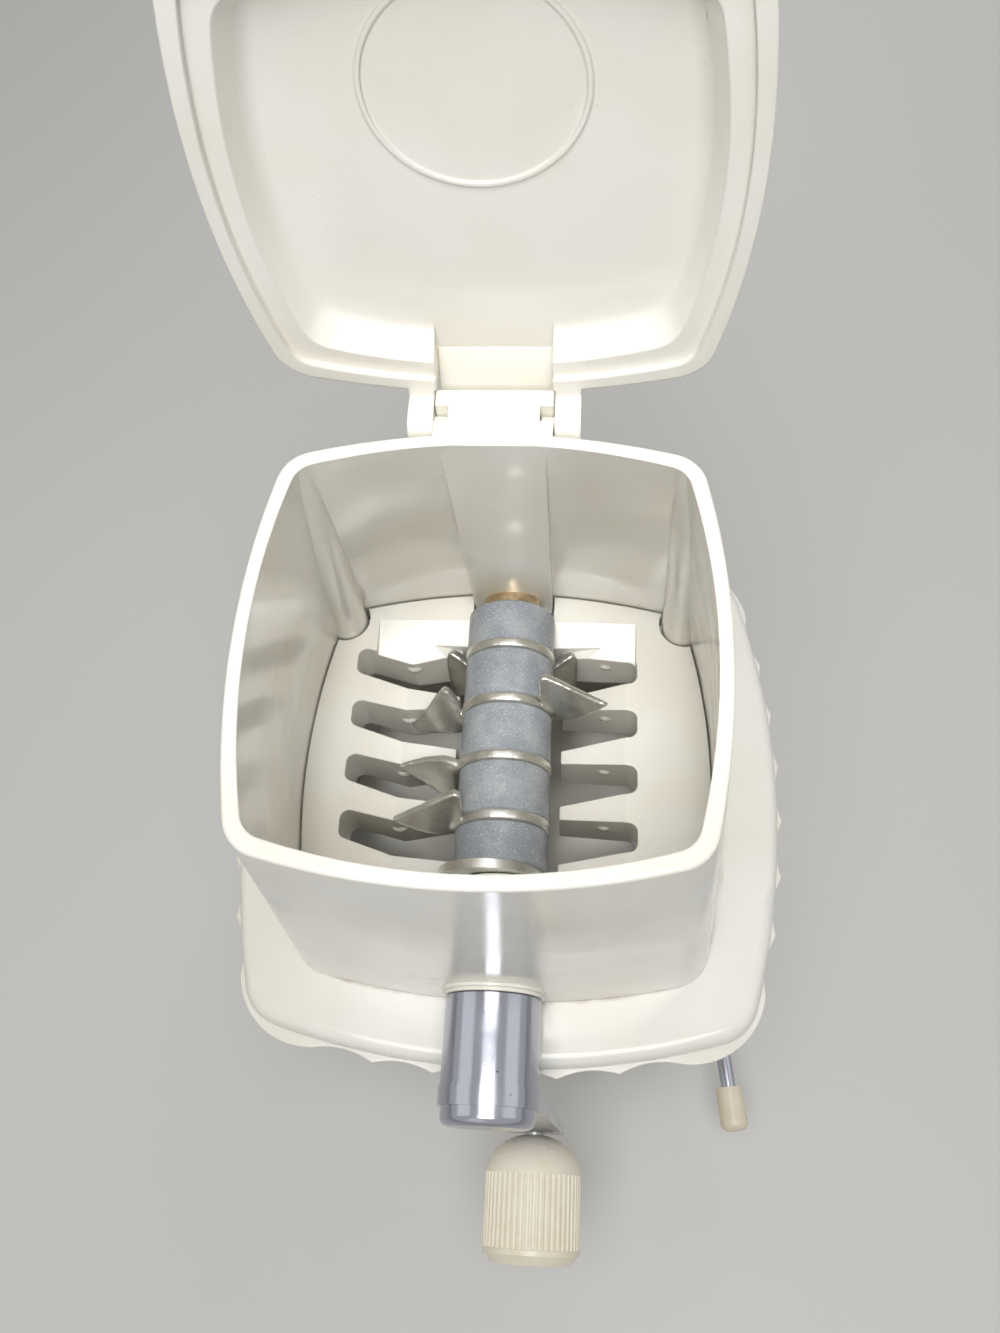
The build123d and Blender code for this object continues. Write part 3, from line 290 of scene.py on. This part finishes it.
def zinc_plate(name):
    finish = Finish(name, metallic=1.0)
    finish.colour(finish.two_tone(2.2, srgb(190, 192, 190), srgb(150, 150, 142)))
    finish.rubbed(1.5, detail=3, seed=1, smooth=0.28, dull=0.5)
    finish.grain(0.7, detail=2, seed=2, depth_mm=0.015, strength=0.5)
    return finish.material


def black_rubber(name):
    finish = Finish(name)
    finish.colour(finish.two_tone(6, srgb(38, 38, 39), srgb(58, 56, 54), detail=3))
    finish.rubbed(4, detail=3, seed=1, smooth=0.55, dull=0.8)
    finish.grain(0.8, detail=3, seed=2, depth_mm=0.03, strength=0.6)
    return finish.material


housing_plastic = off_white_plastic("housing_plastic", used_hopper=True)
white_plastic = off_white_plastic("white_plastic")
knob_plastic = cream_plastic("knob_plastic", srgb(241, 234, 216), srgb(235, 226, 202))
tip_plastic = cream_plastic("tip_plastic", srgb(228, 217, 197), srgb(218, 204, 178))
grey_plastic = speckled_grey_plastic("grey_plastic")
steel = stamped_steel("steel")
chrome = bright_chrome("chrome")
bronze = sintered_bronze("bronze")
zinc = zinc_plate("zinc")
rubber = black_rubber("rubber")

dressed = {
    housing_plastic: "hopper_housing",
    white_plastic: "ice_container base_housing base_plate comb_grate lid lever_cam"
    " suction_stem front_bush",
    knob_plastic: "knob knob_end_plug",
    tip_plastic: "lever_tip",
    grey_plastic: "spacer_1 spacer_2 spacer_3 spacer_4 spacer_5 crank_hub",
    steel: "blade_1 blade_2 blade_3 blade_4 rotor_shaft thrust_washer",
    chrome: "crank_barrel crank_arm crank_cap lever_rod",
    bronze: "rear_bush",
    zinc: "base_screws comb_screws knob_spindle lever_clip",
    rubber: "rubber_feet suction_cup",
}
for material, names in dressed.items():
    for name in names.split():
        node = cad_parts[name]
        node.data.materials.clear()
        node.data.materials.append(material)


# ---------------------------------------------------------------- added pieces
# faces that meet at less than this shade as one smooth surface
smooth_under = math.radians(40)


def start_fresh():
    bpy.ops.object.select_all(action="DESELECT")


def only(piece):
    start_fresh()
    piece.select_set(True)
    bpy.context.view_layer.objects.active = piece


def use_modifier(piece, kind, **settings):
    only(piece)
    modifier = piece.modifiers.new(kind.lower(), kind)
    for key, value in settings.items():
        setattr(modifier, key, value)
    bpy.ops.object.modifier_apply(modifier=modifier.name)


def settle(piece, name, material, body):
    """Puts the piece's place into its mesh, then dresses it and lets it ride."""
    only(piece)
    bpy.ops.object.transform_apply(location=True, rotation=True, scale=True)
    bpy.ops.object.shade_smooth_by_angle(angle=smooth_under)
    piece.name = name
    piece.data.materials.clear()
    piece.data.materials.append(material)
    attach(piece, body)


# angle of each claw from +X towards +Z, in degrees, and the way round that its heel points
claw_turns = {
    1: ((308, 1), (232, -1)),
    2: ((19, 1), (200, -1)),
    3: ((181, 1), (277, -1)),
    4: ((166, -1), (270, 1)),
}
claw_root = 13.1 * MM
claw_length = 19.9 * MM
claw_heel = 9.5 * MM
# over this height above its root a claw takes up the change below
claw_start = 2 * MM
# how far the back edge bows out, and the power that moves the bow's peak outwards
claw_bow = 3.2 * MM
claw_bow_power = 0.8
# how far the heel is tucked in at the root, and the share by which the claw is drawn in
heel_tuck = 2.6 * MM
claw_draw = 0.14
# corners closer than weld_reach are one, then the grain of the remesh, and the rounds of
# smoothing before and after the claws are bowed
weld_reach = 0.001 * MM
blade_grain = 0.42 * MM
press_rounding = 10
last_rounding = 4


def bow_claws(piece, number):
    """Draws each claw's heel in towards the spacer and bows its back edge into a sickle."""
    for vertex in piece.data.vertices:
        x, z = vertex.co.x, vertex.co.z - axis_z
        radius = math.hypot(x, z)
        if radius <= claw_root:
            continue
        round_axis = math.atan2(z, x)
        claws = [
            ((round_axis - math.radians(claw) + math.pi) % math.tau - math.pi, claw, turn)
            for claw, turn in claw_turns[number]
        ]
        off, angle, turn = min(claws, key=lambda claw: abs(claw[0]))
        out, heel = radius * math.cos(off), radius * math.sin(off) * turn
        share = min(max((out - claw_root) / claw_length, 0), 1)
        behind = max(heel, 0) / claw_heel
        strength = min((radius - claw_root) / claw_start, 1)
        heel += strength * behind * claw_bow * math.sin(math.pi * share**claw_bow_power)
        out -= strength * (claw_draw * (out - claw_root) + heel_tuck * behind * (1 - share))
        angle = math.radians(angle)
        vertex.co.x = out * math.cos(angle) - heel * turn * math.sin(angle)
        vertex.co.z = axis_z + out * math.sin(angle) + heel * turn * math.cos(angle)


def form_blade(number):
    """The stamped blade with its claws dished and rounded as they come out of the press."""
    only(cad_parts[f"blade_{number}"])
    bpy.ops.object.duplicate()
    piece = bpy.context.object
    bpy.ops.object.mode_set(mode="EDIT")
    bpy.ops.mesh.select_all(action="SELECT")
    bpy.ops.mesh.remove_doubles(threshold=weld_reach)
    bpy.ops.object.mode_set(mode="OBJECT")
    use_modifier(piece, "REMESH", mode="VOXEL", voxel_size=blade_grain, use_smooth_shade=True)
    use_modifier(piece, "SMOOTH", factor=0.5, iterations=press_rounding)
    bow_claws(piece, number)
    use_modifier(piece, "SMOOTH", factor=0.5, iterations=last_rounding)
    settle(piece, f"formed_blade_{number}", steel, "rotor_and_crank")
    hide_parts(f"blade_{number}")


# the floor that closes the lid's channel behind the hinge tongue, sloping in towards the hinge
channel_floor_place = (0, 60.14 * MM, 235.68 * MM)
channel_floor_slope = math.radians(-23.6)
channel_floor_size = (26 * MM, 2.6 * MM, 12.3 * MM)
channel_floor_edge = 0.5 * MM


def add_channel_floor():
    start_fresh()
    bpy.ops.mesh.primitive_cube_add(
        size=1,
        location=channel_floor_place,
        rotation=(channel_floor_slope, 0, 0),
        scale=channel_floor_size,
    )
    floor = bpy.context.object
    bpy.ops.object.transform_apply(location=False, rotation=False, scale=True)
    use_modifier(floor, "BEVEL", width=channel_floor_edge, segments=3)
    settle(floor, "lid_channel_floor", white_plastic, "hopper_lid")


# the curl of moulding flash on the container's rim, front left, cut open on its outer side
curl_place = (-54.2 * MM, -74.6 * MM, 120.9 * MM)
curl_lean = math.radians(20)
curl_radius = 1.1 * MM
curl_thickness = 0.32 * MM
curl_cut = (curl_place[0] + 0.4 * MM, curl_place[1], curl_place[2])
curl_cut_faces = (1, 0.6, 0)


def add_flash_curl():
    start_fresh()
    bpy.ops.mesh.primitive_torus_add(
        major_radius=curl_radius,
        minor_radius=curl_thickness,
        major_segments=32,
        minor_segments=10,
        location=curl_place,
        rotation=(curl_lean, 0, curl_lean),
    )
    curl = bpy.context.object
    bpy.ops.object.mode_set(mode="EDIT")
    bpy.ops.mesh.bisect(
        plane_co=curl_cut, plane_no=curl_cut_faces, clear_outer=True, use_fill=True
    )
    bpy.ops.object.mode_set(mode="OBJECT")
    settle(curl, "rim_flash_curl", white_plastic, "container_and_base")


for number in claw_turns:
    form_blade(number)
add_channel_floor()
add_flash_curl()


# ---------------------------------------------------------------- floor, lights and camera
floor_size = 6
floor_grey = srgb(214, 213, 210)
background_grey = srgb(205, 205, 203)
# soft light from all round: colour low down, colour overhead, and the height share of the second
light_below = (0.42, 0.42, 0.43, 1)
light_above = (1.0, 1.0, 1.0, 1)
light_above_from = 0.75
light_strength = 0.36
# name: place, what it points at, size in metres, watts, and a spot's cone in degrees
lamps = {
    "key": ((0.0, -0.22, 0.8), (0, 0, 0.15), 0.4, 2.7, None),
    "front": ((-0.5, -1.2, 0.9), (0, 0, 0.2), 0.8, 0.6, None),
    "back": ((0.5, 1.2, 0.8), (0, 0, 0.2), 0.8, 3.5, None),
    "fill": ((1.1, 0.1, 0.9), (0, 0, 0.15), 0.8, 0.9, None),
    "fill_left": ((-1.1, 0.1, 0.9), (0, 0, 0.15), 0.8, 0.9, None),
    "into_hopper": ((0.0, -0.055, 0.62), (0, 0.012, 0.16), 0.04, 4.6, 20),
    "onto_lid": ((0.0, -0.6, 0.75), (0, 0.05, 0.33), 0.1, 9.0, 22),
}
# the photo's camera: focal length and frame height in pixels, its place in mm and its turn
focal_pixels = 1100
frame_pixels = 1333
sensor_mm = 36
camera_place = (19.82, -107.57, 432.24)
camera_rows = (
    (0.9973, -0.0209, 0.0704),
    (0.0490, 0.9031, -0.4265),
    (-0.0547, 0.4288, 0.9017),
)


def make_floor():
    start_fresh()
    bpy.ops.mesh.primitive_plane_add(size=floor_size, location=(0, 0, 0))
    floor = bpy.context.object
    floor.name = "floor"
    finish = Finish("floor_paper", roughness=0.7)
    finish.colour(floor_grey)
    floor.data.materials.append(finish.material)


def make_world():
    world = bpy.data.worlds.new("studio")
    world.use_nodes = True
    nodes, links = world.node_tree.nodes, world.node_tree.links
    split = nodes.new("ShaderNodeSeparateXYZ")
    ramp = nodes.new("ShaderNodeValToRGB")
    light = nodes["Background"]
    links.new(nodes.new("ShaderNodeTexCoord").outputs["Generated"], split.inputs[0])
    links.new(split.outputs["Z"], ramp.inputs["Fac"])
    links.new(ramp.outputs["Color"], light.inputs["Color"])
    low, high = ramp.color_ramp.elements
    low.position, low.color = 0.0, light_below
    high.position, high.color = light_above_from, light_above
    light.inputs["Strength"].default_value = light_strength
    # the camera and reflections see a plain pale background in place of the soft light
    seen = nodes.new("ShaderNodeBackground")
    seen.inputs["Color"].default_value = (*background_grey, 1)
    path = nodes.new("ShaderNodeLightPath")
    shown = path.outputs["Is Camera Ray"]
    for ray in ("Is Glossy Ray", "Is Transmission Ray"):
        either = nodes.new("ShaderNodeMath")
        either.operation = "MAXIMUM"
        links.new(shown, either.inputs[0])
        links.new(path.outputs[ray], either.inputs[1])
        shown = either.outputs[0]
    choice = nodes.new("ShaderNodeMixShader")
    links.new(shown, choice.inputs[0])
    links.new(light.outputs[0], choice.inputs[1])
    links.new(seen.outputs[0], choice.inputs[2])
    links.new(choice.outputs[0], nodes["World Output"].inputs["Surface"])
    bpy.context.scene.world = world


def make_lamps():
    for name, (place, target, size, watts, cone) in lamps.items():
        light = bpy.data.lights.new(name, "SPOT" if cone else "AREA")
        if cone:
            light.spot_size = math.radians(cone)
            light.spot_blend = 1.0
            light.shadow_soft_size = size
        else:
            light.size = size
        light.energy = watts
        lamp = bpy.data.objects.new(name, light)
        bpy.context.scene.collection.objects.link(lamp)
        lamp.location = place
        towards = Vector(target) - Vector(place)
        lamp.rotation_euler = towards.to_track_quat("-Z", "Y").to_euler()


def make_camera():
    camera = bpy.data.cameras.new("photo_camera")
    camera.sensor_fit = "VERTICAL"
    camera.sensor_height = sensor_mm
    camera.lens = focal_pixels / frame_pixels * sensor_mm
    holder = bpy.data.objects.new("photo_camera", camera)
    bpy.context.scene.collection.objects.link(holder)
    place = Matrix.Translation(Vector(camera_place) * MM)
    holder.matrix_world = place @ Matrix(camera_rows).to_4x4()
    bpy.context.scene.camera = holder


make_floor()
make_world()
make_lamps()
make_camera()
bpy.context.scene.view_settings.view_transform = "Standard"
